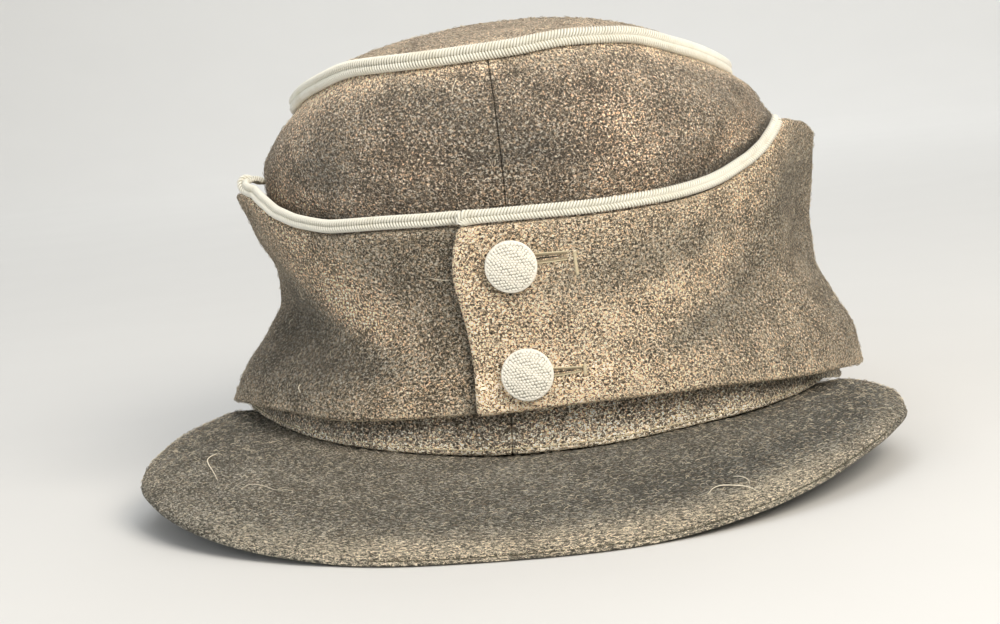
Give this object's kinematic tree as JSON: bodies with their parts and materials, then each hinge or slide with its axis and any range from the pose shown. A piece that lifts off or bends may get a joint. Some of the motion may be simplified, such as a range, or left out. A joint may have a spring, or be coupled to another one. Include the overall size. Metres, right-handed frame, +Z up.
{
  "type": "field cap",
  "caption": "Visored soft wool field cap with a buttoned turn-up band, piped with braid round its crown seam and the front scallop of the band.",
  "frame": {"origin": "on the surface the cap rests on, under the middle of its length and width", "axes": "-Y towards the front of the peak, +X towards the side on the left of whoever wears it, +Z up"},
  "size_m": [0.1852, 0.2562, 0.1122],
  "materials": {
    "crown_cloth": "milled wool, worn to a brown speckle",
    "turn_up_cloth": "milled wool, worn to a brown speckle",
    "peak_cloth": "wool over a stiffener, nap rubbed up along its edge",
    "braid": "silver-grey braided cord, matt",
    "button_metal": "pebbled, dull silver"
  },
  "bodies": {
    "root": {"crown_side_left": "crown_cloth", "crown_side_right": "crown_cloth", "crown_top": "crown_cloth", "crown_piping": "braid", "turn_up": "turn_up_cloth", "turn_up_piping_right": "braid", "turn_up_piping_left": "braid", "peak": "peak_cloth", "button_upper": "button_metal", "button_lower": "button_metal"}
  },
  "joints": []
}
